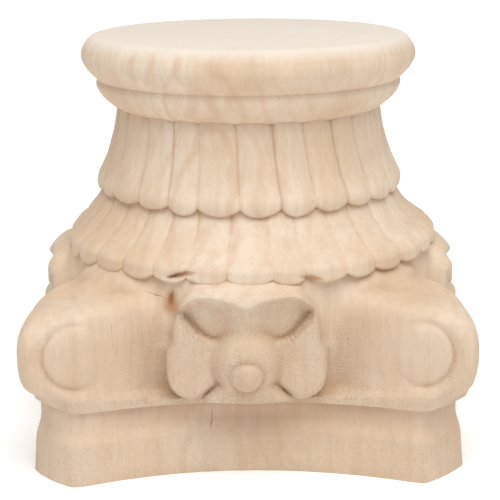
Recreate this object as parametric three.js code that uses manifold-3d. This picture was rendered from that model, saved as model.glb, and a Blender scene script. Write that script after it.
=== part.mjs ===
// Carved wooden column head in one piece, in millimetres with +Z up, standing on its abacus.
// From the underside up: abacus, cove and fillet, four corner scrolls with a rosette on each
// side, two rings of leaves, and a turned cap with a flat round top.
import * as THREE from 'three';
import { mergeVertices } from 'three/addons/utils/BufferGeometryUtils.js';
import Module from 'manifold-3d';

// Heights of the stages, from the underside upwards
const bandHeight = 10;
const coveHeight = 7;
const filletHeight = 3.2;
const scrollHeight = 27.3;
const lowerLeafHeight = 13.5;
const upperLeafHeight = 21;
const ovoloHeight = 6.9;
const torusHeight = 11.1;

// Scrolls on the four corners
const scrollReach = 53.9;
const rollWidth = 12.2;
const rollRise = 12.5;
const rollFall = 13;
const rollLift = 11.3;
const topSquareness = 2.3;
const footSquareness = 3;
const shoulderSlope = 0.42;
const faceTurn = THREE.MathUtils.degToRad(12);
const armHalfWidth = 14.1;
const ribbonRound = 5;
const armRound = 7;
const drumBlend = 6;
const edgeRound = 2;
const eyeRadius = 7.4;
const eyeInset = 1.6;
const eyeRise = 0.8;
const eyeSides = 14;

// Drum behind the rosettes, and how it sweeps out to the fillet at its foot
const drumInset = 7.6;
const drumFootInset = 2.3;
const footSweep = 3.5;

// Abacus: a square with hollow sides and cut corners
const cornerInset = 1.85;
const cornerCut = 11.15;
const sideHollow = 9.4;
const bandBatter = 1;
const coveDepth = 1.7;
const filletLip = 0.7;
const filletHollow = 6.4;
const edgeHeight = 0.6;
const coveRows = [0.25, 1];

// Rosette on each side. Its petals are measured from the middle of the bud.
const budRadius = 8.2;
const budProud = 1.3;
const budLift = 9.6;
const buttonShare = 0.42;
const ringShare = 0.6;
const budShoulder = 0.8;
const ringDepth = 0.7;
const petalInset = 1.4;
const petalSquareness = 2.4;
const petalRound = 1.7;
const leastSpread = 13.2;
const upperPetal = { aside: 9.4, rise: 12, across: 8.2, up: 5.6, slant: 0.38, lip: 2.2, fall: 0.6, steps: 5 };
const sidePetal = { aside: 12.2, rise: 1.5, across: 7.2, up: 11.4, slant: 0, fall: 0.27, steps: 6 };
const footPetal = { aside: 0, rise: -5.4, across: 9.6, up: 4.4, slant: 0, inset: 1.4, steps: 3 };
const creaseAngle = THREE.MathUtils.degToRad(39);
const creaseWidth = THREE.MathUtils.degToRad(4);
const wedgeAngle = THREE.MathUtils.degToRad(-40);
const wedgeWidth = THREE.MathUtils.degToRad(5);
const wedgeFall = 0.7;

// Rings of leaves
const upperLeaf = { count: 26, reach: 39, depth: 1, scallop: 2, lean: 0.044, phase: 0.25, flare: 1.45 };
const lowerLeaf = { count: 32, reach: 48, depth: 0.8, scallop: 1.7, lean: 0, phase: 0, flare: 1.2 };
const leafColumns = 3;
const leafRows = [0, 0.12, 0.4, 1];
const tipTuck = 0.5;
const lipHeight = 3.6;
const leafStep = 0.8;
const neckRadius = 33.4;

// Turned cap
const torusRadius = 42;
const topRadius = 39.1;
const ovoloRadius = 38.3;
const ovoloBelly = 0.35;
const grooveHeight = 0.6;
const torusSpring = 1.6;
const torusBelly = 0.55;
const rimRound = 1.2;
const capColumns = 36;

// How finely the body is divided: rows up the scrolls, columns, and halvings of a search
const scrollRowCount = 9;
const sideColumns = 14;
const cutColumns = 6;
const searchSteps = 24;

// Levels and shared places that follow from the sizes above
const lap = 2;
const drumRadius = scrollReach - drumInset;
const cornerReach = scrollReach - cornerInset;
const budReach = scrollReach + budProud;
const petalReach = scrollReach - petalInset;
const coveFoot = bandHeight;
const filletFoot = coveFoot + coveHeight;
const scrollFoot = filletFoot + filletHeight;
const lowerLeafFoot = scrollFoot + scrollHeight;
const upperLeafFoot = lowerLeafFoot + lowerLeafHeight;
const ovoloFoot = upperLeafFoot + upperLeafHeight;
const torusFoot = ovoloFoot + ovoloHeight;
const topLevel = torusFoot + torusHeight;
const halfSide = cornerReach - cornerCut;
const cutAngle = Math.atan2(halfSide, cornerReach);
const quarter = Math.PI / 2;
const rollCentre = scrollReach - rollWidth;
const rollLevel = scrollFoot + rollLift;
const budLevel = scrollFoot + budLift;

const wasm = await Module();
wasm.setup();

// Joining and cutting

function solidOf(geometry) {
  const bare = geometry.index ? geometry.toNonIndexed() : geometry.clone();
  bare.deleteAttribute('normal');
  bare.deleteAttribute('uv');
  const merged = mergeVertices(bare, 1e-4);
  return new wasm.Manifold(new wasm.Mesh({
    numProp: 3,
    vertProperties: new Float32Array(merged.attributes.position.array),
    triVerts: new Uint32Array(merged.index.array),
  }));
}

function geometryOf(solid) {
  const mesh = solid.getMesh();
  const geometry = new THREE.BufferGeometry();
  geometry.setAttribute('position', new THREE.BufferAttribute(mesh.vertProperties, 3));
  geometry.setIndex(new THREE.BufferAttribute(mesh.triVerts, 1));
  geometry.computeVertexNormals();
  return geometry;
}

// A closed drum about Z. place(angle, share) gives each point of its wall, with share 0 at the
// foot and 1 at the head, and the ends close to the axis.
function drum(columns, rows, place) {
  const geometry = new THREE.CylinderGeometry(1, 1, 1, columns, rows);
  geometry.rotateX(Math.PI / 2);
  const points = geometry.attributes.position;
  for (let i = 0; i < points.count; i += 1) {
    const x = points.getX(i);
    const y = points.getY(i);
    const onAxis = Math.hypot(x, y) < 0.5;
    const spot = place(Math.atan2(y, x), points.getZ(i) + 0.5);
    const reach = onAxis ? 0 : spot.reach;
    points.setXYZ(i, reach * Math.cos(spot.angle), reach * Math.sin(spot.angle), spot.level);
  }
  return solidOf(geometry);
}

// Soft joins between two distances, rounded over the width k

function softMin(a, b, k) {
  const near = Math.max(k - Math.abs(a - b), 0) / k;
  return Math.min(a, b) - near * near * k / 4;
}

function softMax(a, b, k) {
  return -softMin(-a, -b, k);
}

// Abacus, cove and fillet

// Angle from the middle of the nearest side, between minus and plus 45 degrees
function fromSide(angle) {
  return angle - quarter * Math.round(angle / quarter);
}

function abacusReach(angle, hollow) {
  const turn = Math.abs(fromSide(angle));
  if (turn > cutAngle) {
    return (cornerReach + halfSide) / (Math.sin(turn) + Math.cos(turn));
  }
  const arcRadius = (halfSide ** 2 + hollow ** 2) / (2 * hollow);
  const arcCentre = cornerReach - hollow + arcRadius;
  const along = arcCentre * Math.cos(turn);
  return along - Math.sqrt(along ** 2 - arcCentre ** 2 + arcRadius ** 2);
}

function coveInset(level) {
  const share = (level - coveFoot) / coveHeight;
  return bandBatter + coveDepth * Math.sqrt(Math.max(2 * share - share ** 2, 0));
}

function filletReach(angle) {
  return abacusReach(angle, filletHollow) - coveInset(filletFoot) + filletLip;
}

// Corner scrolls and the drum between them, as a distance that is negative inside

// Outline of a scroll, with its shoulder rising towards the leaves. undercut is 0 to 1.
function rollDistance(aside, level, undercut) {
  const outer = Math.max(aside - rollCentre, 0) / rollWidth;
  const rise = shoulderSlope * Math.max(rollCentre - aside, 0);
  const above = level - rollLevel;
  const up = Math.max(above - rise, 0) / rollRise;
  const down = Math.max(-above, 0) / rollFall * undercut;
  const power = above > 0 ? topSquareness : footSquareness;
  const squared = outer ** power + (up + down) ** power;
  return (squared ** (1 / power) - 1) * rollWidth;
}

// A scroll is rounded under only near its corner, and its face runs straight down elsewhere
function undercutAt(aside) {
  return THREE.MathUtils.smoothstep(aside, rollCentre - eyeRadius, rollCentre + eyeRadius / 2);
}

function faceDistance(aside, out) {
  const turnedBack = (rollCentre + eyeRadius - aside) * Math.sin(faceTurn);
  return (out - scrollReach) * Math.cos(faceTurn) + turnedBack;
}

function bodyDistance(x, y, level) {
  const a = Math.abs(x);
  const b = Math.abs(y);
  const reach = Math.hypot(x, y);
  const across = rollDistance(a, level, undercutAt(b));
  const along = rollDistance(b, level, undercutAt(a));
  const rolls = softMax(across, along, ribbonRound);
  const faces = softMax(faceDistance(a, b), faceDistance(b, a), ribbonRound);
  const width = Math.abs(a - b) / Math.SQRT2 - armHalfWidth;
  const arm = softMax(softMax(rolls, faces, edgeRound), width, armRound);
  const footShare = Math.max(lowerLeafFoot - level, 0) / scrollHeight;
  const round = reach - drumRadius + drumFootInset * footShare ** 3;
  const slab = Math.max(level - scrollFoot, reach - filletReach(Math.atan2(y, x)));
  return softMin(softMin(arm, round, drumBlend), slab, footSweep);
}

function bodyReach(angle, level) {
  let inside = drumRadius / 2;
  let outside = 2 * scrollReach;
  for (let step = 0; step < searchSteps; step += 1) {
    const middle = (inside + outside) / 2;
    const distance = bodyDistance(middle * Math.cos(angle), middle * Math.sin(angle), level);
    if (distance < 0) {
      inside = middle;
    } else {
      outside = middle;
    }
  }
  return inside;
}

// Rows of the body from the underside to the lower leaves
const bodyRows = [
  { level: 0, reach: (angle) => abacusReach(angle, sideHollow) },
  { level: coveFoot, reach: (angle) => abacusReach(angle, sideHollow) - bandBatter },
];
for (const share of coveRows) {
  const level = coveFoot + coveHeight * share;
  bodyRows.push({ level, reach: (angle) => abacusReach(angle, sideHollow) - coveInset(level) });
}
for (const level of [filletFoot + edgeHeight, scrollFoot - edgeHeight]) {
  bodyRows.push({ level, reach: filletReach });
}
for (let row = 0; row <= scrollRowCount; row += 1) {
  const level = scrollFoot + edgeHeight + (scrollHeight + lap - edgeHeight) * row / scrollRowCount;
  bodyRows.push({ level, reach: (angle) => bodyReach(angle, level) });
}

// Columns stand on the corners of the abacus, and closer together across the cut corners
function columnAngle(angle) {
  const column = fromSide(angle) / quarter * (sideColumns + cutColumns);
  const step = cutAngle / (sideColumns / 2);
  const cutStep = 2 * (quarter / 2 - cutAngle) / cutColumns;
  const past = Math.max(Math.abs(column) - sideColumns / 2, 0);
  const turn = Math.min(Math.abs(column), sideColumns / 2) * step + past * cutStep;
  return quarter * Math.round(angle / quarter) + Math.sign(column) * turn;
}

function body() {
  const rows = bodyRows.length - 1;
  return drum(4 * (sideColumns + cutColumns), rows, (angle, share) => {
    const row = bodyRows[Math.round(share * rows)];
    const turned = columnAngle(angle);
    return { angle: turned, reach: row.reach(turned), level: row.level };
  });
}

// The round eye of a scroll, standing out from the scroll's face
function eye(side, hand) {
  const disc = new THREE.CylinderGeometry(eyeRadius, eyeRadius - eyeRise, 2 * eyeRise, eyeSides);
  disc.rotateZ(-hand * faceTurn);
  const aside = rollCentre - eyeInset;
  const out = scrollReach - (eyeInset + eyeRadius) * Math.tan(faceTurn);
  disc.translate(hand * aside, -out, rollLevel);
  disc.rotateZ(side * quarter);
  return solidOf(disc);
}

// Rosettes, in polar sections about the bud, each from the back of the drum's wall to the button

function insidePetal(petal, aside, rise) {
  const x = aside - petal.aside;
  const z = rise - petal.rise;
  const along = Math.abs(x * Math.cos(petal.slant) + z * Math.sin(petal.slant)) / petal.across;
  const up = Math.abs(z * Math.cos(petal.slant) - x * Math.sin(petal.slant)) / petal.up;
  return along ** petalSquareness + up ** petalSquareness < 1;
}

// How far the petals spread from the middle of the bud along a section
function spread(petal, turn) {
  let inside = petal === footPetal ? budRadius + petalRound : leastSpread;
  let outside = 3 * budRadius;
  for (let step = 0; step < searchSteps; step += 1) {
    const middle = (inside + outside) / 2;
    if (insidePetal(petal, middle * Math.cos(turn), middle * Math.sin(turn))) {
      inside = middle;
    } else {
      outside = middle;
    }
  }
  return inside;
}

// Faces of the petals: how far each point stands from the column's axis

function upperFace(aside, rise) {
  const x = aside - upperPetal.aside;
  const z = rise - upperPetal.rise;
  const up = z * Math.cos(upperPetal.slant) - x * Math.sin(upperPetal.slant);
  const below = upperPetal.up - up - upperPetal.lip;
  return petalReach - upperPetal.fall * Math.max(below, 0);
}

function sideFace(aside) {
  const edge = sidePetal.aside + sidePetal.across;
  return petalReach - petalRound / 2 - sidePetal.fall * Math.max(edge - petalRound - aside, 0);
}

function footFace() {
  return petalReach - footPetal.inset;
}

function wedgeFace(aside, rise) {
  return petalReach - footPetal.inset - wedgeFall * (Math.hypot(aside, rise) - budRadius);
}

// Sections from the top of the rosette round to its foot, on its right half
const sections = [];

function addSections(petal, face, first, last) {
  for (let step = 0; step <= petal.steps; step += 1) {
    const turn = first + (last - first) * step / petal.steps;
    sections.push({ turn, face, spread: spread(petal, turn) });
  }
}

addSections(upperPetal, upperFace, quarter, creaseAngle + creaseWidth / 2);
addSections(sidePetal, sideFace, creaseAngle - creaseWidth / 2, wedgeAngle + wedgeWidth / 2);
sections.push({ turn: wedgeAngle, face: wedgeFace, spread: leastSpread });
addSections(footPetal, footFace, wedgeAngle - wedgeWidth / 2, -quarter);

function budFace(share) {
  const ring = share === ringShare ? ringDepth : 0;
  const shown = Math.max(share, buttonShare);
  return budReach - budRadius + budRadius * Math.sqrt(1 - shown ** 2) - ring;
}

function rosette(side) {
  const rows = [
    (section) => ({ reach: section.spread, out: drumRadius - budRadius }),
    (section) => ({ reach: section.spread, sunk: petalRound }),
    (section) => ({ reach: section.spread - petalRound, sunk: 0 }),
    (section) => ({ reach: (section.spread - petalRound + budRadius) / 2, sunk: 0 }),
    () => ({ reach: budRadius, sunk: 0 }),
  ];
  for (const share of [budShoulder, ringShare, buttonShare]) {
    rows.push(() => ({ reach: budRadius * share, out: budFace(share) }));
  }
  const columns = 2 * (sections.length - 1);
  const geometry = new THREE.CylinderGeometry(1, 1, 1, columns, rows.length - 1);
  const points = geometry.attributes.position;
  for (let i = 0; i < points.count; i += 1) {
    const x = points.getX(i);
    const z = points.getZ(i);
    const column = Math.round(Math.atan2(Math.abs(x), z) / Math.PI * (sections.length - 1));
    const section = sections[column];
    const row = rows[Math.round((points.getY(i) + 0.5) * (rows.length - 1))](section);
    const onAxis = Math.hypot(x, z) < 0.5;
    const reach = onAxis ? 0 : row.reach;
    const aside = reach * Math.cos(section.turn);
    const rise = reach * Math.sin(section.turn);
    const wall = row.out ?? Math.sqrt((section.face(aside, rise) - row.sunk) ** 2 - aside ** 2);
    const out = onAxis && points.getY(i) > 0 ? budReach : wall;
    points.setXYZ(i, (x < 0 ? 1 : -1) * aside, -out, budLevel + rise);
  }
  geometry.rotateZ(side * quarter);
  return solidOf(geometry);
}

// Rings of leaves, each leaf a rounded reed with a scalloped lower edge

// How far an angle lies from the middle of its leaf, from 0 to 1 at the groove
function leafOffset(leaf, angle) {
  const turns = angle / (2 * Math.PI) * leaf.count + leaf.phase;
  return Math.abs(2 * (turns - Math.floor(turns)) - 1);
}

// Each ring flares from headReach at its head to the leaves' reach. full is where it stops flaring.
function leafRing(leaf, foot, head, headReach, full) {
  const rows = leafRows.length - 1;
  return drum(leaf.count * leafColumns, rows, (angle, share) => {
    const offset = leafOffset(leaf, angle);
    const rise = leafRows[Math.round(share * rows)];
    const edge = foot + leaf.scallop * offset ** 2;
    const level = edge + (head - edge) * rise;
    const drop = Math.max((head - level) / (head - foot), 0);
    const crest = headReach + (leaf.reach - headReach) * Math.min(drop / full, 1) ** leaf.flare;
    const tuck = rise === 0 ? tipTuck : 0;
    const turned = angle - leaf.phase / leaf.count * 2 * Math.PI + leaf.lean * (1 - share);
    return { angle: turned, reach: crest - tuck - leaf.depth * offset ** 2, level };
  });
}

function upperLeaves() {
  const head = ovoloFoot + lap;
  return leafRing(upperLeaf, upperLeafFoot, head, neckRadius, 1 - lap / (head - upperLeafFoot));
}

function lowerLeaves() {
  const head = upperLeafFoot + lap;
  const headReach = upperLeaf.reach - upperLeaf.depth - leafStep;
  return leafRing(lowerLeaf, lowerLeafFoot, head, headReach, 1 - lipHeight / (head - lowerLeafFoot));
}

// Turned cap: an ovolo, a groove and a torus under the flat top
function cap() {
  const torusMiddle = torusFoot + torusHeight * torusBelly;
  const ovoloMiddle = ovoloFoot + ovoloHeight * ovoloBelly;
  const outline = new THREE.Path();
  outline.moveTo(0, ovoloFoot);
  outline.lineTo(neckRadius, ovoloFoot);
  outline.quadraticCurveTo(ovoloRadius - rimRound, ovoloMiddle, ovoloRadius, torusFoot - grooveHeight);
  outline.lineTo(ovoloRadius, torusFoot);
  outline.quadraticCurveTo(torusRadius, torusFoot + torusSpring, torusRadius, torusMiddle);
  outline.quadraticCurveTo(torusRadius, topLevel - rimRound, topRadius, topLevel);
  outline.lineTo(0, topLevel);
  return solidOf(new THREE.LatheGeometry(outline.getPoints(3), capColumns).rotateX(Math.PI / 2));
}

// The whole piece
const wood = new THREE.MeshStandardMaterial({ color: 0xdac2aa, roughness: 0.8, metalness: 0 });

let head = body();
for (let side = 0; side < 4; side += 1) {
  for (const hand of [-1, 1]) {
    head = head.add(eye(side, hand));
  }
  head = head.add(rosette(side));
}
head = head.add(lowerLeaves()).add(upperLeaves()).add(cap());

const carvedHead = new THREE.Mesh(geometryOf(head), wood);
carvedHead.name = 'carved_column_head';

const model = new THREE.Group();
model.add(carvedHead);
export default model;
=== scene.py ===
"""Carved wooden column head, standing upside down on its abacus.

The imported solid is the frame. The finished carving replaces it: five blanks, from the abacus up
to the turned cap, are carved point by point and joined into one piece of wood. Carving sizes are
in millimetres, and become metres when a blank is carved. The front is -Y.
"""
import math

import bpy
import numpy as np
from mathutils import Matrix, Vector, noise


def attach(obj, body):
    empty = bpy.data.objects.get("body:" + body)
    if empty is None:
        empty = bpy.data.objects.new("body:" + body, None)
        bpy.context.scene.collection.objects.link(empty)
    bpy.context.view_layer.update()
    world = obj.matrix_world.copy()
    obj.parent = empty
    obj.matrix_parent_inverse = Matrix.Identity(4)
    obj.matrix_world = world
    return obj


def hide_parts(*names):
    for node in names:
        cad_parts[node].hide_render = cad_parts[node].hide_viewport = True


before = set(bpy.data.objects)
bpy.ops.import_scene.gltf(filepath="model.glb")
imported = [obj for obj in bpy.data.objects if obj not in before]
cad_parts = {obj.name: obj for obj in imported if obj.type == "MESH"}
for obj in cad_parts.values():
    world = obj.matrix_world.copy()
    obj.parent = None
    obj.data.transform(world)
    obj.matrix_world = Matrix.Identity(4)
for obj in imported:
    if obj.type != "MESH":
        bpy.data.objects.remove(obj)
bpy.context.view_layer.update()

MM = 0.001
QUARTER = math.pi / 2
FRONT = -QUARTER

# Levels of the stages above the underside
BAND_HEAD = 10.0
COVE_HEAD = 18.5
FILLET_HEAD = 20.2
SCROLL_HEAD = 47.5
LOWER_LEAF_HEAD = 61.0
UPPER_LEAF_HEAD = 82.0
LAP = 2.0

# Abacus: a square with hollow sides and cut corners
CORNER_REACH = 52.6
HALF_SIDE = 40.9
SIDE_HOLLOW = 9.4
CUT_ANGLE = math.atan2(HALF_SIDE, CORNER_REACH)
CUT_CROWN = 1.2
CORNER_ROUND = 3.0
BAND_BATTER = 1.0
COVE_DEPTH = 1.5
FILLET_LIP = 1.0
FILLET_HOLLOW = 6.4

# Drum, and how it sweeps out to the fillet at its foot
DRUM_RADIUS = 46.3
DRUM_FOOT_INSET = 2.3
DRUM_HOLLOW = 1.2
HOLLOW_ASIDE = 22.5
HOLLOW_WIDTH = 4.0
FOOT_SWEEP = 3.5

# Corner scrolls
SCROLL_REACH = 53.9
RIM_RISE = 0.8
ROLL_WIDTH = 12.2
ROLL_RISE = 12.5
ROLL_FALL = 13.0
ROLL_CENTRE = SCROLL_REACH - ROLL_WIDTH
ROLL_LEVEL = 31.5
TOP_SQUARENESS = 2.3
FOOT_SQUARENESS = 2.6
SHOULDER_SLOPE = 0.42
FACE_TURN = math.radians(12)
ARM_HALF_WIDTH = 14.1
RIBBON_ROUND = 5.0
EDGE_ROUND = 2.0
ARM_ROUND = 7.0
DRUM_BLEND = 6.0
EYE_RADIUS = 7.4
EYE_ASIDE = 40.1
EYE_DOME = 0.4
GROOVE_DEPTH = 0.8
GROOVE_WIDTH = 0.9
GROOVE_OUT = 0.3
RIM_WIDTH = 3.2

# The corner at the front right and its scroll are short, by these sizes and over these angles
SHORT_CORNER = 1.6
SHORT_CORNER_WIDTH = 0.22
SHORT_SCROLL = 1.3
SHORT_SCROLL_WIDTH = 0.3

# Rosettes, with their flower measured from the middle of the bud
BUD_RADIUS = 8.2
BUD_OUT = 46.7
BUD_LEVEL = 29.3
BUD_DIP = math.radians(20)
BUTTON_TURN = math.radians(33)
RING_DEPTH = 1.0
RING_WIDTH = math.radians(6)
BUD_JOINT = 1.0
PETAL_REACH = 52.9
FLOWER_SHIFT = -0.8

# The flower's outline is squarer below its middle, and has a waist above it
FLOWER_HALF = 18.7
FLOWER_MIDDLE = 1.5
FLOWER_UP = 18.0
FLOWER_DOWN = 11.0
UPPER_SQUARENESS = 3
LOWER_SQUARENESS = 4
WAIST_DEPTH = 1.5
WAIST_FOOT = 1.5
WAIST_HEAD = 5.5
OUTLINE_SCALE = 15.0

# Side petals, and the foot petal between its two cuts
SIDE_INSET = 0.3
DISH_SLOPE = 0.38
DISH_RIM = 2.4
DISH_ROUND = 2.0
FOOT_INSET = 1.8
WEDGE_ANGLE = math.radians(40)
WEDGE_DEPTH = 1.8
WEDGE_WIDTH = 0.7
WEDGE_EDGE = 0.4
WEDGE_START = 7.5
WEDGE_FULL = 11.5

# Upper petals: the lip over each, the crease under it and the spoon between them
LIP_ASIDE = 10.0
LIP_RISE = 16.2
LIP_FALL_OUTSIDE = 0.107
LIP_FALL_INSIDE = 0.021
LIP_ROUND = 0.7
CREASE_ASIDE = 7.0
CREASE_RISE = 5.1
CREASE_CURVE = 0.1
CREASE_EDGE = 0.35
CREASE_DEPTH = 1.0
CREASE_WIDTH = 1.6
CREASE_FULL = 11.0
CREASE_END = 16.5
SPOON_DEPTH = 4.8
SPOON_WALL = 1.7
SPOON_MIDDLE = 0.45
SPOON_MIDDLE_WIDTH = 6.0
SPOON_FADE = 2.4
HOOD_RISE = 13.4
HOOD_FALL = 0.19

# A spoon ends this far aside. The side rosettes have a wider rim on the half nearer the front.
SPOON_TIP = 17.0
NEAR_SPOON_TIP = 13.2

# The lower leaves are worn back on the left side, over this angle
WORN_DEPTH = 1.8
WORN_WIDTH = 0.35

# Slow ups and downs that a hand tool leaves
UNEVEN_DEPTH = 0.12

# Flaws on the front: a knot and its core, a gouge and its core, a smaller gouge, and two cracks.
# Each has its place, half sizes and slant in degrees, its colour and how deep it is cut.
FLAWS = [
    {"aside": -18.5, "out": 46.0, "level": 42.4, "across": 2.0, "up": 3.5,
     "slant": 8, "tint": "b57a4c", "dent": 0},
    {"aside": -18.2, "out": 46.0, "level": 43.4, "across": 0.8, "up": 2.0,
     "slant": 14, "tint": "8f5a34", "dent": 0},
    {"aside": -16.2, "out": 47.0, "level": 49.3, "across": 3.4, "up": 0.7,
     "slant": -14, "tint": "9a6238", "dent": 0.8},
    {"aside": -17.6, "out": 47.0, "level": 48.9, "across": 1.7, "up": 0.4,
     "slant": -14, "tint": "6d3f20", "dent": 0.5},
    {"aside": 14.4, "out": 47.0, "level": 48.6, "across": 2.8, "up": 0.7,
     "slant": 12, "tint": "b08055", "dent": 0.5},
    {"aside": -22.1, "out": 45.0, "level": 43.8, "across": 3.0, "up": 0.16,
     "slant": 15, "tint": "a36e48", "dent": 0},
    {"aside": -9.3, "out": 43.0, "level": 12.9, "across": 0.16, "up": 2.6,
     "slant": 4, "tint": "a87a58", "dent": 0},
]


def soft_min(a, b, width):
    """The lower of two distances, with their joint rounded over the width."""
    near = np.maximum(width - np.abs(a - b), 0) / width
    return np.minimum(a, b) - near * near * width / 4


def soft_max(a, b, width):
    """The higher of two distances, with their joint rounded over the width."""
    return -soft_min(-a, -b, width)


def smooth_step(low, high, value):
    """0 below low, 1 above high, and smooth between them."""
    share = np.clip((value - low) / (high - low), 0, 1)
    return share * share * (3 - 2 * share)


def from_side(angle):
    """The angle from the middle of the nearest side, between minus and plus 45 degrees."""
    return angle - QUARTER * np.round(angle / QUARTER)


def unevenness(angle, reach, level, size):
    """Slow ups and downs, about as long as the size, for points in millimetres."""
    points = np.stack([reach * np.cos(angle), reach * np.sin(angle), level], 1) / size
    return UNEVEN_DEPTH * np.array([noise.noise(Vector(point)) for point in points])


# Corner scrolls and drum, as a distance in millimetres that is negative inside the wood

def roll_distance(aside, level, undercut):
    """Outline of a scroll seen from the side it faces, with its shoulder rising to the leaves."""
    outer = np.maximum(aside - ROLL_CENTRE, 0) / ROLL_WIDTH
    rise = SHOULDER_SLOPE * np.maximum(ROLL_CENTRE - aside, 0)
    above = level - ROLL_LEVEL
    up = np.maximum(above - rise, 0) / ROLL_RISE
    down = np.maximum(-above, 0) / ROLL_FALL * undercut
    power = np.where(above > 0, TOP_SQUARENESS, FOOT_SQUARENESS)
    squared = outer ** power + (up + down) ** power
    return (squared ** (1 / power) - 1) * ROLL_WIDTH


def undercut(aside):
    """A scroll is rounded under only near its corner. Its face runs straight down elsewhere."""
    return smooth_step(ROLL_CENTRE - EYE_RADIUS, ROLL_CENTRE + EYE_RADIUS / 2, aside)


def face_relief(aside, level):
    """Rim round a scroll's eye, which fades on its inner side, the groove in it and the domed eye."""
    across = (aside - EYE_ASIDE) / math.cos(FACE_TURN)
    up = level - ROLL_LEVEL
    from_eye = np.hypot(across, up)
    outward = smooth_step(-0.9, 0.4, across / np.maximum(from_eye, 0.1))
    rim = RIM_RISE * smooth_step(EYE_RADIUS - GROOVE_OUT, EYE_RADIUS + RIM_WIDTH, from_eye)
    groove = GROOVE_DEPTH * np.exp(-((from_eye - EYE_RADIUS - GROOVE_OUT) / GROOVE_WIDTH) ** 2)
    dome = EYE_DOME * np.clip(1 - (from_eye / EYE_RADIUS) ** 2, 0, 1)
    return (rim - groove) * outward + dome


def face_distance(aside, out, level):
    """Front face of a scroll, turned a little towards the middle of its side."""
    turned_back = (ROLL_CENTRE + EYE_RADIUS - aside) * math.sin(FACE_TURN)
    plane = (out - SCROLL_REACH + RIM_RISE) * math.cos(FACE_TURN) + turned_back
    return plane - face_relief(aside, level)


def abacus_reach(turn, hollow):
    """Plan of the abacus: a hollow arc on each side, and a straight cut at each corner."""
    arc_radius = (HALF_SIDE ** 2 + hollow ** 2) / (2 * hollow)
    arc_centre = CORNER_REACH - hollow + arc_radius
    along = arc_centre * np.cos(turn)
    side = along - np.sqrt(np.maximum(along ** 2 - arc_centre ** 2 + arc_radius ** 2, 0))
    crown = CUT_CROWN * (1 - ((turn - QUARTER / 2) / (QUARTER / 2 - CUT_ANGLE)) ** 2)
    cut = (CORNER_REACH + HALF_SIDE) / (np.sin(turn) + np.cos(turn)) + crown
    return soft_min(cut, side, CORNER_ROUND)


def fillet_reach(turn):
    """Plan of the fillet, which is less hollow on its sides than the abacus under it."""
    return abacus_reach(turn, FILLET_HOLLOW) - BAND_BATTER - COVE_DEPTH + FILLET_LIP


def scroll_distance(aside, out, level):
    """An arm with its scroll, joined softly to the drum and to the fillet below."""
    across = roll_distance(aside, level, undercut(out))
    along = roll_distance(out, level, undercut(aside))
    rolls = soft_max(across, along, RIBBON_ROUND)
    faces = soft_max(face_distance(aside, out, level), face_distance(out, aside, level), RIBBON_ROUND)
    width = np.abs(aside - out) / math.sqrt(2) - ARM_HALF_WIDTH
    arm = soft_max(soft_max(rolls, faces, EDGE_ROUND), width, ARM_ROUND)
    reach = np.hypot(aside, out)
    foot_share = np.maximum(SCROLL_HEAD - level, 0) / (SCROLL_HEAD - FILLET_HEAD)
    hollow = DRUM_HOLLOW * np.exp(-((np.minimum(aside, out) - HOLLOW_ASIDE) / HOLLOW_WIDTH) ** 2)
    drum = reach - DRUM_RADIUS + DRUM_FOOT_INSET * foot_share ** 3 + hollow
    fillet = np.maximum(level - FILLET_HEAD, reach - fillet_reach(np.arctan2(aside, out)))
    return soft_min(soft_min(arm, drum, DRUM_BLEND), fillet, FOOT_SWEEP)


# Rosettes

def flower_outline(aside, rise):
    """Distance from the outline of the petals, seen from the side they face."""
    half_height = np.where(rise > FLOWER_MIDDLE, FLOWER_UP, FLOWER_DOWN)
    power = np.where(rise > FLOWER_MIDDLE, UPPER_SQUARENESS, LOWER_SQUARENESS)
    across = aside / (FLOWER_HALF - WAIST_DEPTH * smooth_step(WAIST_FOOT, WAIST_HEAD, rise))
    up = np.abs(rise - FLOWER_MIDDLE) / half_height
    return ((across ** power + up ** power) ** (1 / power) - 1) * OUTLINE_SCALE


def below_lip(aside, rise):
    """Distance down from the lip of an upper petal, which is highest over the petal's middle."""
    fall = np.where(aside > LIP_ASIDE, LIP_FALL_OUTSIDE, LIP_FALL_INSIDE)
    return LIP_RISE - fall * (aside - LIP_ASIDE) ** 2 - rise


def above_crease(aside, rise):
    """Distance up from the crease that parts an upper petal from the side petal below it."""
    return rise - CREASE_RISE - CREASE_CURVE * np.maximum(aside - CREASE_ASIDE, 0) ** 2


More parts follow.
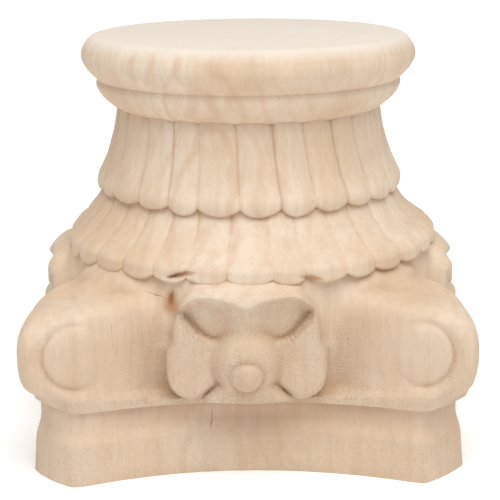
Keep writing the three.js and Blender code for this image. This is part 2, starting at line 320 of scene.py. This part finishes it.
def flower_face(aside, rise, spoon_tip):
    """How far from the column's axis the faces of the petals stand."""
    # A side petal is a shallow dish with a rolled outer rim, low beside the bud
    dish = soft_max(FLOWER_HALF - DISH_RIM - aside, 0, DISH_ROUND)
    side = PETAL_REACH - SIDE_INSET - DISH_SLOPE * dish

    # The foot petal shows between two cuts that run outwards from under the bud
    from_cut = aside * math.sin(WEDGE_ANGLE) + rise * math.cos(WEDGE_ANGLE)
    along_cut = aside * math.cos(WEDGE_ANGLE) - rise * math.sin(WEDGE_ANGLE)
    foot = smooth_step(WEDGE_EDGE, -WEDGE_EDGE, from_cut)
    face = side * (1 - foot) + (PETAL_REACH - FOOT_INSET) * foot
    wedge = np.exp(-(from_cut / WEDGE_WIDTH) ** 2) * smooth_step(WEDGE_START, WEDGE_FULL, along_cut)
    face = face - WEDGE_DEPTH * wedge

    # An upper petal is hollowed like a spoon under a lip that runs up and back to the leaves
    hollow = SPOON_MIDDLE + (1 - SPOON_MIDDLE) * smooth_step(0, SPOON_MIDDLE_WIDTH, aside)
    hollow = hollow * smooth_step(spoon_tip, spoon_tip - SPOON_FADE, aside)
    drop = soft_max(below_lip(aside, rise), 0, LIP_ROUND)
    spoon = PETAL_REACH - SPOON_DEPTH * hollow * (1 - np.exp(-drop / SPOON_WALL))
    over_crease = above_crease(aside, rise)
    crease = np.exp(-np.maximum(over_crease, 0) / CREASE_WIDTH) * smooth_step(CREASE_END, CREASE_FULL, aside)
    spoon = spoon - CREASE_DEPTH * hollow * crease
    spoon = spoon - HOOD_FALL * np.maximum(rise - HOOD_RISE, 0) ** 2
    upper = smooth_step(-CREASE_EDGE, CREASE_EDGE, over_crease)
    return face * (1 - upper) + spoon * upper


def bud(aside, out, rise):
    """A round bud with a ring cut round its button, which faces forward and a little down."""
    forward = out - BUD_OUT
    from_centre = np.sqrt(aside ** 2 + forward ** 2 + rise ** 2)
    facing = (forward * math.cos(BUD_DIP) - rise * math.sin(BUD_DIP)) / np.maximum(from_centre, 0.1)
    turn = np.arccos(np.clip(facing, -1, 1))
    ring = RING_DEPTH * np.exp(-((turn - BUTTON_TURN) / RING_WIDTH) ** 2)
    return from_centre - BUD_RADIUS + ring


def rosette_distance(aside, out, level, spoon_tip):
    """A flower with its bud. The petals have rounder edges above the bud's middle than at the foot."""
    foot_edge, upper_edge = 1.2, 2.0
    rise = level - BUD_LEVEL
    face = np.hypot(aside, out) - flower_face(aside, rise, spoon_tip)
    edge_round = foot_edge + (upper_edge - foot_edge) * smooth_step(-6, 0, rise)
    flower = soft_max(face, flower_outline(aside, rise), edge_round)
    return soft_min(flower, bud(aside, out, rise), BUD_JOINT)


def carved_reach(angle, level):
    """How far from the axis the scroll stage reaches. Each step halves the gap between wood and air."""
    side = from_side(angle)
    turn = np.abs(side)
    near_half = (np.abs(np.cos(angle)) > math.cos(QUARTER / 2)) & (np.sin(angle) < 0)
    spoon_tip = np.where(near_half, NEAR_SPOON_TIP, SPOON_TIP)
    foot_joint, upper_joint = 0.8, 3.0
    joint = foot_joint + (upper_joint - foot_joint) * smooth_step(-5, 3, level - BUD_LEVEL)
    inside = np.full(len(turn), DRUM_RADIUS / 2)
    outside = np.full(len(turn), 2 * SCROLL_REACH)
    search_steps = 24
    for _ in range(search_steps):
        middle = (inside + outside) / 2
        aside = middle * np.sin(turn)
        out = middle * np.cos(turn)
        scrolls = scroll_distance(aside, out, level)
        from_flower = np.abs(middle * np.sin(side) - FLOWER_SHIFT)
        wood = soft_min(scrolls, rosette_distance(from_flower, out, level, spoon_tip), joint) < 0
        inside = np.where(wood, middle, inside)
        outside = np.where(wood, outside, middle)
    return inside


# Blanks and carving

def round_blank(name, columns, rows):
    """A closed round blank, one across and one high, with its wall cut into rows."""
    bpy.ops.object.select_all(action="DESELECT")
    bpy.ops.mesh.primitive_cylinder_add(vertices=columns, radius=1, depth=1, end_fill_type="TRIFAN")
    blank = bpy.context.object
    blank.name = name
    bpy.ops.object.mode_set(mode="EDIT")
    bpy.ops.mesh.select_mode(type="EDGE")
    bpy.ops.mesh.select_all(action="DESELECT")
    bpy.ops.object.mode_set(mode="OBJECT")
    points = blank.data.vertices
    for edge in blank.data.edges:
        foot, head = edge.vertices
        edge.select = abs(points[foot].co.z - points[head].co.z) > 0.5
    bpy.ops.object.mode_set(mode="EDIT")
    bpy.ops.mesh.subdivide(number_cuts=rows - 1)
    bpy.ops.object.mode_set(mode="OBJECT")
    return blank


def carve(blank, shape):
    """Moves a blank's points. shape(angle, share) gives their angles, reaches and levels."""
    points = np.empty(len(blank.data.vertices) * 3)
    blank.data.vertices.foreach_get("co", points)
    x, y, height = points.reshape(-1, 3).T
    angle, reach, level = shape(np.arctan2(y, x), height + 0.5)
    reach = np.where(np.hypot(x, y) < 0.5, 0, reach)
    carved = np.stack([reach * np.cos(angle), reach * np.sin(angle), level], 1) * MM
    blank.data.vertices.foreach_set("co", carved.ravel())
    blank.data.update()
    return blank


def lathe(blank, outline):
    """Turns a blank to an outline: pairs of level and reach from the foot to the head."""
    levels, reaches = np.array(outline).T
    steps = np.linspace(0, 1, len(outline))

    def shape(angle, share):
        return angle, np.interp(share, steps, reaches), np.interp(share, steps, levels)

    return carve(blank, shape)


# Abacus

def abacus():
    """The slab at the foot: a battered band, a cove, and the fillet under the scrolls."""
    side_columns, cut_columns = 64, 14
    cove_height = COVE_HEAD - BAND_HEAD
    cove_inset = BAND_BATTER + COVE_DEPTH
    fillet_inset = cove_inset - FILLET_LIP

    # Each row has its level, how far it is set in, and its share of the fillet's plan
    profile = [(0, 0.3, 0), (0.4, 0.02, 0), (4, 0.4, 0), (7.5, 0.75 * BAND_BATTER, 0)]
    for share in (-0.16, -0.06, 0.04, 0.14, 0.24, 0.36, 0.5, 0.65, 0.8, 0.92, 1.0):
        level = BAND_HEAD + cove_height * share
        curve = smooth_step(-0.14, 0.5, share)
        profile.append((level, BAND_BATTER * min(level / BAND_HEAD, 1) + COVE_DEPTH * curve, 0))
    profile += [(COVE_HEAD + 0.1, cove_inset - 0.2, 0.3), (COVE_HEAD + 0.35, fillet_inset + 0.45, 0.8),
                (COVE_HEAD + 0.65, fillet_inset + 0.15, 1), (COVE_HEAD + 0.9, fillet_inset, 1),
                (FILLET_HEAD - 0.6, fillet_inset + 0.1, 1), (FILLET_HEAD - 0.2, fillet_inset + 0.4, 1),
                (FILLET_HEAD, fillet_inset + 1.1, 1)]
    levels, insets, on_fillet = np.array(profile).T
    steps = np.linspace(0, 1, len(profile))

    def shape(angle, share):
        side = np.round(angle / QUARTER)
        column = (angle / QUARTER - side) * (side_columns + cut_columns)
        on_side = np.minimum(np.abs(column), side_columns / 2) * 2 / side_columns
        on_cut = np.maximum(np.abs(column) - side_columns / 2, 0) * 2 / cut_columns
        turn = on_side * CUT_ANGLE + on_cut * (QUARTER / 2 - CUT_ANGLE)
        level = np.interp(share, steps, levels)
        fillet = np.interp(share, steps, on_fillet)
        plan = abacus_reach(turn, SIDE_HOLLOW) * (1 - fillet) + abacus_reach(turn, FILLET_HOLLOW) * fillet
        reach = plan - np.interp(share, steps, insets)
        turned = side * QUARTER + np.sign(column) * turn
        from_corner = (turned - FRONT - QUARTER / 2) / SHORT_CORNER_WIDTH
        reach = reach - SHORT_CORNER * np.exp(-from_corner ** 2)
        return turned, reach + unevenness(turned, reach, level, size=12), level

    return carve(round_blank("abacus", 4 * (side_columns + cut_columns), len(profile) - 1), shape)


# Stages above the abacus

def scroll_stage():
    """Drum, scrolls and rosettes between the fillet and the lower leaves."""
    columns, rows = 864, 62
    foot = FILLET_HEAD - LAP
    head = SCROLL_HEAD + LAP
    corner_crowding = 0.3

    def shape(angle, share):
        turned = angle + corner_crowding * np.sin(4 * angle) / 4
        level = foot + (head - foot) * share
        reach = carved_reach(turned, level)
        from_corner = (turned - FRONT - QUARTER / 2) / SHORT_SCROLL_WIDTH
        above_fillet = smooth_step(FILLET_HEAD, FILLET_HEAD + 6, level)
        reach = reach - SHORT_SCROLL * np.exp(-from_corner ** 2) * above_fillet
        return turned, reach + unevenness(turned, reach, level, size=9), level

    return carve(round_blank("scroll_stage", columns, rows), shape)


def leaf_ring(name, count, foot, head, outline, valley, scallop, lean, valley_angle):
    """A ring of rounded leaves with scalloped tips, no two cut quite alike."""
    columns, rows = 16, 32
    tip_spread, reach_spread, turn_spread = 0.45, 0.12, 0.12
    tip_crowding = 1.3
    tuck_height, tuck_depth = 0.8, 0.5
    levels, reaches = np.array(outline).T
    leaf_angle = 2 * math.pi / count
    chance = np.random.default_rng(count)
    own_tip = chance.uniform(-tip_spread, tip_spread, count)
    own_reach = chance.uniform(-reach_spread, reach_spread, count)
    own_valley = chance.uniform(0.6, 1.25, count)
    own_turn = chance.uniform(-turn_spread, turn_spread, count) * leaf_angle

    def shape(angle, share):
        place = angle / leaf_angle
        leaf = np.round(place).astype(int) % count
        gap = np.floor(place).astype(int) % count
        offset = 2 * np.abs(place - np.round(place))
        edge = foot + own_tip[leaf] * (1 - offset) + scallop * offset ** 2
        level = edge + (head - edge) * share ** tip_crowding
        fall = np.clip((head - level) / (head - foot), 0, 1)
        near_tip = np.clip((level - edge) / tuck_height, 0, 1)
        tuck = tuck_depth * (1 - np.sqrt(1 - (1 - near_tip) ** 2))

        # The valley between two leaves grows steeper towards its line
        cut = 0.5 * offset ** 2 + 0.25 * offset ** 6 + 0.25 * offset ** 16
        groove = valley * own_valley[gap] * cut * (0.75 + 0.25 * fall)
        reach = np.interp(level, levels, reaches) + own_reach[leaf] * (1 - offset ** 2) - groove - tuck
        turned = angle + valley_angle - leaf_angle / 2 + lean * (fall - 1) + own_turn[gap] * offset ** 2
        return turned, reach + unevenness(turned, reach, level, size=7), level

    return carve(round_blank(name, count * columns, rows), shape)


def lower_leaves():
    """The ring that flares out over the scrolls."""
    outline = [(47, 47.8), (48, 48), (50.6, 47.8), (51.6, 47.0), (53, 44.9), (55, 42.3), (57.8, 39.6),
               (61, 37.4), (63, 36.4)]
    middle_valley = FRONT + math.radians(5.6)
    return leaf_ring("lower_leaves", count=32, foot=47.2, head=LOWER_LEAF_HEAD + LAP, outline=outline,
                     valley=0.65, scallop=1.3, lean=0, valley_angle=middle_valley)


def upper_leaves():
    """The ring round the neck, with leaves that lean a little."""
    outline = [(60, 38), (61.3, 38.6), (63.5, 39), (65, 38.8), (66, 38.2), (67.5, 37.5), (69.5, 36.5),
               (73, 35.3), (76.5, 34.3), (80, 33.7), (82, 33.4), (85, 33.4)]
    middle_valley = FRONT - math.radians(3.5)
    return leaf_ring("upper_leaves", count=26, foot=61.2, head=UPPER_LEAF_HEAD + LAP, outline=outline,
                     valley=0.85, scallop=1.55, lean=math.radians(2.5), valley_angle=middle_valley)


def cap():
    """The turned cap: an ovolo, a groove and a torus under the flat top."""
    outline = [(80.5, 30), (82.2, 33.2), (83, 34.5), (84, 35.7), (85, 36.8), (86, 37.6), (87, 38.1),
               (87.8, 38.4), (88.4, 38.4), (88.9, 38.2), (89.4, 38.2), (90, 38.8), (91, 39.8), (92, 40.7),
               (93, 41.3), (94, 41.8), (95, 42), (96, 41.9), (97, 41.6), (98, 41), (98.8, 40.4),
               (99.4, 39.8), (99.8, 39.2), (100, 38.4)]
    columns = 176
    return lathe(round_blank("cap", columns, len(outline) - 1), outline)


# Joining

def join(pieces):
    """Joins the carved blanks into one closed piece."""
    whole = pieces[0]
    for piece in pieces[1:]:
        joint = whole.modifiers.new("joint", "BOOLEAN")
        joint.operation = "UNION"
        joint.solver = "MANIFOLD"
        joint.object = piece
        bpy.ops.object.select_all(action="DESELECT")
        whole.select_set(True)
        bpy.context.view_layer.objects.active = whole
        bpy.ops.object.modifier_apply(modifier=joint.name)
        bpy.data.objects.remove(piece)
    return whole


def vectors(points, kind):
    """The places or the normals of a mesh's points, one in a row."""
    values = np.empty(len(points) * 3)
    points.foreach_get(kind, values)
    return values.reshape(-1, 3)


def valley_depth(mesh, points, normals):
    """How far each point lies below the surface smoothed over its neighbours, in millimetres."""
    smoothing_rounds = 12
    count = len(points)
    edges = np.empty(len(mesh.edges) * 2, dtype=int)
    mesh.edges.foreach_get("vertices", edges)
    a, b = edges.reshape(-1, 2).T
    neighbours = np.bincount(a, minlength=count) + np.bincount(b, minlength=count)
    smooth = points.copy()
    for _ in range(smoothing_rounds):
        total = [np.bincount(a, smooth[b, i], count) + np.bincount(b, smooth[a, i], count) for i in range(3)]
        smooth = np.stack(total, 1) / neighbours[:, None]
    return ((smooth - points) * normals).sum(1) / MM


def tool_marks_and_shade(x, y, level):
    """How strongly a gouge's marks show, which is most in the flowers and the hollows beside them. It also
    holds painted shade, deepest in the middle of the hollows and on the fillet.
    """
    aside = np.hypot(x, y) * np.sin(from_side(np.arctan2(y, x)))

    # Each place has its strength, and fades over the distances or levels given, in millimetres
    from_outline = flower_outline(np.abs(aside - FLOWER_SHIFT), level - BUD_LEVEL)
    flower = 0.8 * smooth_step(0.8, -0.8, from_outline)
    # Tool marks in the hollows beside the flowers, with painted shade strongest in their middle
    from_hollow = (np.abs(aside) - HOLLOW_ASIDE) / 5
    hollow = (0.3 + 0.6 * np.exp(-from_hollow ** 2)) * smooth_step(40, 33, level)
    hollow = hollow * smooth_step(COVE_HEAD - 2, COVE_HEAD, level)
    under_leaves = smooth_step(SCROLL_HEAD, SCROLL_HEAD - 4, level)
    # Painted shade on the fillet's ledge
    fillet = 0.5 * np.exp(-((level - FILLET_HEAD) / 2.5) ** 2)
    band = 0.7 * smooth_step(BAND_HEAD + 1, BAND_HEAD - 1, level)
    return np.maximum(flower, hollow) * under_leaves + fillet + band


def wear(x, y, level):
    """How far the tips of the lower leaves are worn back on the left, in millimetres.

    The wear starts just above the scrolls and fades out between 51 and 57 mm.
    """
    from_left = (np.pi - np.abs(np.arctan2(y, x))) / WORN_WIDTH
    at_tips = smooth_step(57, 51, level) * smooth_step(46.5, 48, level)
    return WORN_DEPTH * np.exp(-from_left ** 2) * at_tips


def flaw_depth(x, y, level):
    """How deep the flaws are cut into the front, in millimetres."""
    depth = np.zeros(len(x))
    for flaw in FLAWS:
        slant = math.radians(flaw["slant"])
        aside = x - flaw["aside"]
        up = level - flaw["level"]
        along = (aside * math.cos(slant) - up * math.sin(slant)) / flaw["across"]
        over = (aside * math.sin(slant) + up * math.cos(slant)) / flaw["up"]
        depth += flaw["dent"] * np.exp(-along ** 2 - over ** 2) * (y < 0)
    return depth


def mark_wood(piece):
    """Wears and dents the wood, and keeps what its colour reads: the valleys' depth, which darkens them as
    painted shade, and tool marks with painted shade in the hollows and on the fillet.
    """
    mesh = piece.data
    points = vectors(mesh.vertices, "co")
    normals = vectors(mesh.vertices, "normal")
    x, y, level = points.T / MM
    # The valleys' depth darkens them as painted shade. The second mask holds tool marks and painted shade.
    kept = {"recess": valley_depth(mesh, points, normals), "tooled_and_shaded": tool_marks_and_shade(x, y, level)}
    for name, values in kept.items():
        mesh.attributes.new(name, "FLOAT", "POINT").data.foreach_set("value", values)

    outward = np.stack([x, y, 0 * x], 1) / np.maximum(np.hypot(x, y), 1)[:, None]
    points = points - outward * wear(x, y, level)[:, None] * MM
    points = points - normals * flaw_depth(x, y, level)[:, None] * MM
    mesh.vertices.foreach_set("co", points.ravel())
    mesh.update()


# Material

def linear(screen_hex):
    """The linear red, green and blue of a colour that is given in hex as a screen shows it."""
    channels = [int(screen_hex[i:i + 2], 16) / 255 for i in (0, 2, 4)]
    return [c / 12.92 if c <= 0.04045 else ((c + 0.055) / 1.055) ** 2.4 for c in channels] + [1.0]


def add(tree, kind, settings=None, links=None):
    """Adds a node. settings has values for its inputs or properties, and links has sources for its inputs.

    An input goes by its name, or by its number where several have one name.
    """
    node = tree.nodes.new(kind)
    for name, value in (settings or {}).items():
        if isinstance(name, int) or name in node.inputs:
            node.inputs[name].default_value = value
        else:
            setattr(node, name, value)
    for name, source in (links or {}).items():
        tree.links.new(source, node.inputs[name])
    return node


def growth_rings(tree, place):
    """Nested cones about an upright pith near the front left, clearest close to it."""
    spacing = 5 * MM
    pith_round = 4 * MM
    taper = 5
    wander_depth = 9 * MM
    wander_length = 15 * MM
    from_pith = add(tree, "ShaderNodeMapping",
                    {"Location": (10 * MM, 36 * MM, pith_round), "Scale": (1, 1, 0)}, {"Vector": place})
    distance = add(tree, "ShaderNodeVectorMath", {"operation": "LENGTH"}, {0: from_pith.outputs[0]})
    height = add(tree, "ShaderNodeSeparateXYZ", links={"Vector": place})
    wander = add(tree, "ShaderNodeTexNoise", {"Scale": 1 / wander_length, "Detail": 2.0}, {"Vector": place})
    coned = add(tree, "ShaderNodeMath", {"operation": "MULTIPLY_ADD", 1: 1 / taper},
                {0: height.outputs["Z"], 2: distance.outputs["Value"]})
    wandered = add(tree, "ShaderNodeMath", {"operation": "MULTIPLY_ADD", 1: wander_depth},
                   {0: wander.outputs["Fac"], 2: coned.outputs[0]})
    turns = add(tree, "ShaderNodeMath", {"operation": "MULTIPLY", 1: 2 * math.pi / spacing},
                {0: wandered.outputs[0]})
    wave = add(tree, "ShaderNodeMath", {"operation": "SINE"}, {0: turns.outputs[0]})
    line = add(tree, "ShaderNodeMapRange",
               {"From Min": 0.3, "From Max": 1.0, "interpolation_type": "SMOOTHSTEP"},
               {"Value": wave.outputs[0]})
    near_pith = add(tree, "ShaderNodeMapRange",
                    {"From Min": 8 * MM, "From Max": 22 * MM, "To Min": 1.0, "To Max": 0.3},
                    {"Value": distance.outputs["Value"]})
    seen = add(tree, "ShaderNodeMath", {"operation": "MULTIPLY"},
               {0: line.outputs[0], 1: near_pith.outputs[0]})
    return seen.outputs[0]


def flaw_layers(tree, place):
    """Each flaw as a ragged patch of its own colour, which reaches a few millimetres into the wood."""
    raggedness = 0.8
    patch_depth = 6
    strength = 0.85
    noise_shift = raggedness / 2
    ragged = add(tree, "ShaderNodeTexNoise", {"Scale": 1 / (1.3 * MM), "Detail": 2.0}, {"Vector": place})
    moved = add(tree, "ShaderNodeVectorMath", {"operation": "MULTIPLY_ADD", 1: (raggedness * MM,) * 3},
                {0: ragged.outputs["Color"], 2: place})
    layers = []
    for flaw in FLAWS:
        middle = (flaw["aside"] + noise_shift, noise_shift - flaw["out"], flaw["level"] + noise_shift)
        half_sizes = (flaw["across"], patch_depth, flaw["up"])
        patch = add(tree, "ShaderNodeMapping",
                    {"vector_type": "TEXTURE", "Rotation": (0, math.radians(flaw["slant"]), 0),
                     "Location": [size * MM for size in middle],
                     "Scale": [size * MM for size in half_sizes]}, {"Vector": moved.outputs[0]})
        from_middle = add(tree, "ShaderNodeVectorMath", {"operation": "LENGTH"}, {0: patch.outputs[0]})
        inside = add(tree, "ShaderNodeMapRange", {"From Min": 1.2, "From Max": 0.6},
                     {"Value": from_middle.outputs["Value"]})
        layers.append((inside.outputs[0], flaw["tint"], strength))
    return layers


def layered_colour(tree, base, layers):
    """Mixes the layers' tints into the base colour, each by its mask and its strength."""
    colour = None
    for mask, tint, strength in layers:
        share = add(tree, "ShaderNodeMath", {"operation": "MULTIPLY", 1: strength}, {0: mask})
        mix = add(tree, "ShaderNodeMix", {"data_type": "RGBA", 6: linear(base), 7: linear(tint)},
                  {"Factor": share.outputs[0]})
        if colour:
            tree.links.new(colour, mix.inputs[6])
        colour = mix.outputs[2]
    return colour


def rubberwood():
    """Pale rubberwood, carved, sanded lightly and left bare: matt, faintly streaked along its grain."""
    material = bpy.data.materials.new("bare_rubberwood")
    material.use_nodes = True
    tree = material.node_tree
    tree.nodes.clear()
    place = add(tree, "ShaderNodeTexCoord").outputs["Object"]
    height = add(tree, "ShaderNodeSeparateXYZ", links={"Vector": place}).outputs["Z"]

    # Fibres are 0.4 mm apart and run up the piece, in streaks about 2 mm wide, with fine pores
    grain_stretch = 0.06
    upright = add(tree, "ShaderNodeMapping", {"Scale": (1, 1, grain_stretch)}, {"Vector": place}).outputs[0]
    fibre = add(tree, "ShaderNodeTexNoise", {"Scale": 1 / (0.4 * MM), "Detail": 2.0, "Roughness": 0.7},
                {"Vector": upright})
    streak = add(tree, "ShaderNodeTexNoise", {"Scale": 1 / (2.2 * MM), "Detail": 2.0, "Roughness": 0.6},
                 {"Vector": upright})
    streaked = add(tree, "ShaderNodeMapRange", {"From Min": 0.4, "From Max": 0.7},
                   {"Value": streak.outputs["Fac"]})
    pores = add(tree, "ShaderNodeTexNoise", {"Scale": 1 / (0.3 * MM), "Detail": 0.0}, {"Vector": upright})
    pore = add(tree, "ShaderNodeMapRange", {"From Min": 0.72, "From Max": 0.82},
               {"Value": pores.outputs["Fac"]})

    # The gouge leaves a stipple about 0.4 mm across. Its mask also holds painted shade in the hollows and on
    # the fillet.
    stipple = add(tree, "ShaderNodeTexNoise", {"Scale": 1 / (0.4 * MM), "Detail": 1.0}, {"Vector": place})
    speckle = add(tree, "ShaderNodeMapRange", {"From Min": 0.3, "From Max": 0.72},
                  {"Value": stipple.outputs["Fac"]})
    tooled_and_shaded = add(tree, "ShaderNodeAttribute", {"attribute_name": "tooled_and_shaded"})
    stippled_marks_and_shade = add(tree, "ShaderNodeMath", {"operation": "MULTIPLY"},
                {0: speckle.outputs[0], 1: tooled_and_shaded.outputs["Fac"]})

    # Painted shade darkens the valleys, darker clouds run through the block, and its foot is darker
    recess = add(tree, "ShaderNodeAttribute", {"attribute_name": "recess"})
    valley_shade = add(tree, "ShaderNodeMapRange",
               {"From Min": 0.06, "From Max": 0.8, "interpolation_type": "SMOOTHSTEP"},
               {"Value": recess.outputs["Fac"]})
    blotch = add(tree, "ShaderNodeTexNoise", {"Scale": 1 / (22 * MM), "Detail": 2.0}, {"Vector": place})
    cloud = add(tree, "ShaderNodeMapRange", {"From Min": 0.35, "From Max": 0.65},
                {"Value": blotch.outputs["Fac"]})
    darker_foot = add(tree, "ShaderNodeMapRange", {"From Min": 43 * MM, "From Max": 33 * MM},
                      {"Value": height})
    end_grain = add(tree, "ShaderNodeMapRange", {"From Min": 97 * MM, "From Max": 99.8 * MM},
                    {"Value": height})

    # Each layer has its mask, its tint and its strength
    layers = [
        (cloud.outputs[0], "ddc5a9", 1),
        (darker_foot.outputs[0], "d2b89f", 0.4),
        (streaked.outputs[0], "cfb192", 0.4),
        (fibre.outputs["Fac"], "c19d7a", 0.35),
        (growth_rings(tree, place), "cc9872", 0.24),
        (end_grain.outputs[0], "efe6da", 0.75),
        # Stipple of tool marks, and painted shade in the hollows and on the fillet
        (stippled_marks_and_shade.outputs[0], "a39179", 0.42),
        (pore.outputs[0], "b08c6c", 0.3),
        # Painted shade in the valleys, darker where they are deeper
        (valley_shade.outputs[0], "a87c55", 0.45),
    ]
    colour = layered_colour(tree, "e8d8c3", layers + flaw_layers(tree, place))

    # The cutter's lines lie across the grain. A band texture of scale 1 has 20 turns of its wave to 2 pi.
    cutter_spacing = 1.3 * MM
    cutter_lines = add(tree, "ShaderNodeTexWave",
                       {"wave_type": "BANDS", "bands_direction": "Z",
                        "Scale": 2 * math.pi / 20 / cutter_spacing,
                        "Distortion": 2.0, "Detail": 2.0, "Detail Scale": 2.0}, {"Vector": place})

    # Each relief has its depth in millimetres and its strength
    relief = [
        (cutter_lines.outputs["Fac"], 0.04, 0.3),
        (fibre.outputs["Fac"], 0.15, 0.35),
        (stippled_marks_and_shade.outputs[0], 0.4, 0.35),
    ]
    bump = None
    for source, depth, strength in relief:
        node = add(tree, "ShaderNodeBump", {"Strength": strength, "Distance": depth * MM},
                   {"Height": source})
        if bump:
            tree.links.new(bump, node.inputs["Normal"])
        bump = node.outputs[0]
    shader = add(tree, "ShaderNodeBsdfPrincipled", {"Roughness": 0.7, "IOR": 1.5},
                 {"Base Color": colour, "Normal": bump})
    add(tree, "ShaderNodeOutputMaterial", links={"Surface": shader.outputs[0]})
    return material


# Stage

def white_floor():
    """Plain white paper, which glows a little so that it stays white in the soft light."""
    floor_width = 12
    bpy.ops.object.select_all(action="DESELECT")
    bpy.ops.mesh.primitive_plane_add(size=floor_width)
    floor = bpy.context.object
    floor.name = "floor"
    paper = bpy.data.materials.new("white_paper")
    paper.use_nodes = True
    surface = paper.node_tree.nodes["Principled BSDF"].inputs
    surface["Base Color"].default_value = linear("fbfbfb")
    surface["Roughness"].default_value = 1.0
    surface["Emission Color"].default_value = linear("ffffff")
    surface["Emission Strength"].default_value = 0.12
    floor.data.materials.append(paper)


def studio():
    """A white room with soft light from high in front, which leaves the undersides darker."""
    light_direction = Vector((-0.07, 0.49, -1))
    world = bpy.data.worlds.new("white_room")
    world.use_nodes = True
    room = world.node_tree.nodes["Background"].inputs
    room["Color"].default_value = (1, 1, 1, 1)
    room["Strength"].default_value = 0.42
    bpy.context.scene.world = world
    bpy.ops.object.light_add(type="SUN", location=(0, 0, 1))
    key = bpy.context.object
    key.name = "soft_key"
    key.data.energy = 2.35
    key.data.angle = math.radians(50)
    key.rotation_euler = light_direction.to_track_quat("-Z", "Y").to_euler()
    bpy.context.scene.view_settings.view_transform = "Standard"


def camera():
    """The photo's view: 15 degrees down, from 0.34 m in front, and turned by half a degree."""
    distance = 0.338
    height = 0.1338
    from_straight_down = math.radians(75)
    roll = math.radians(0.45)
    focal_length_px = 1332
    axis_column = 246.8
    picture_width = 500
    bpy.ops.object.camera_add(location=(0, -distance, height))
    view = bpy.context.object
    view.rotation_euler = (from_straight_down, roll, 0)
    view.data.sensor_width = 36
    view.data.lens = focal_length_px / picture_width * view.data.sensor_width
    view.data.shift_x = (picture_width / 2 - axis_column) / picture_width
    view.data.clip_start = 0.01
    bpy.context.scene.camera = view


column_head = join([abacus(), scroll_stage(), lower_leaves(), upper_leaves(), cap()])
column_head.name = "carved_wood"
column_head.data.name = "carved_wood"
bpy.ops.object.shade_smooth_by_angle(angle=math.radians(40))
mark_wood(column_head)
column_head.data.materials.clear()
column_head.data.materials.append(rubberwood())
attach(column_head, "root")
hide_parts("carved_column_head")

white_floor()
studio()
camera()
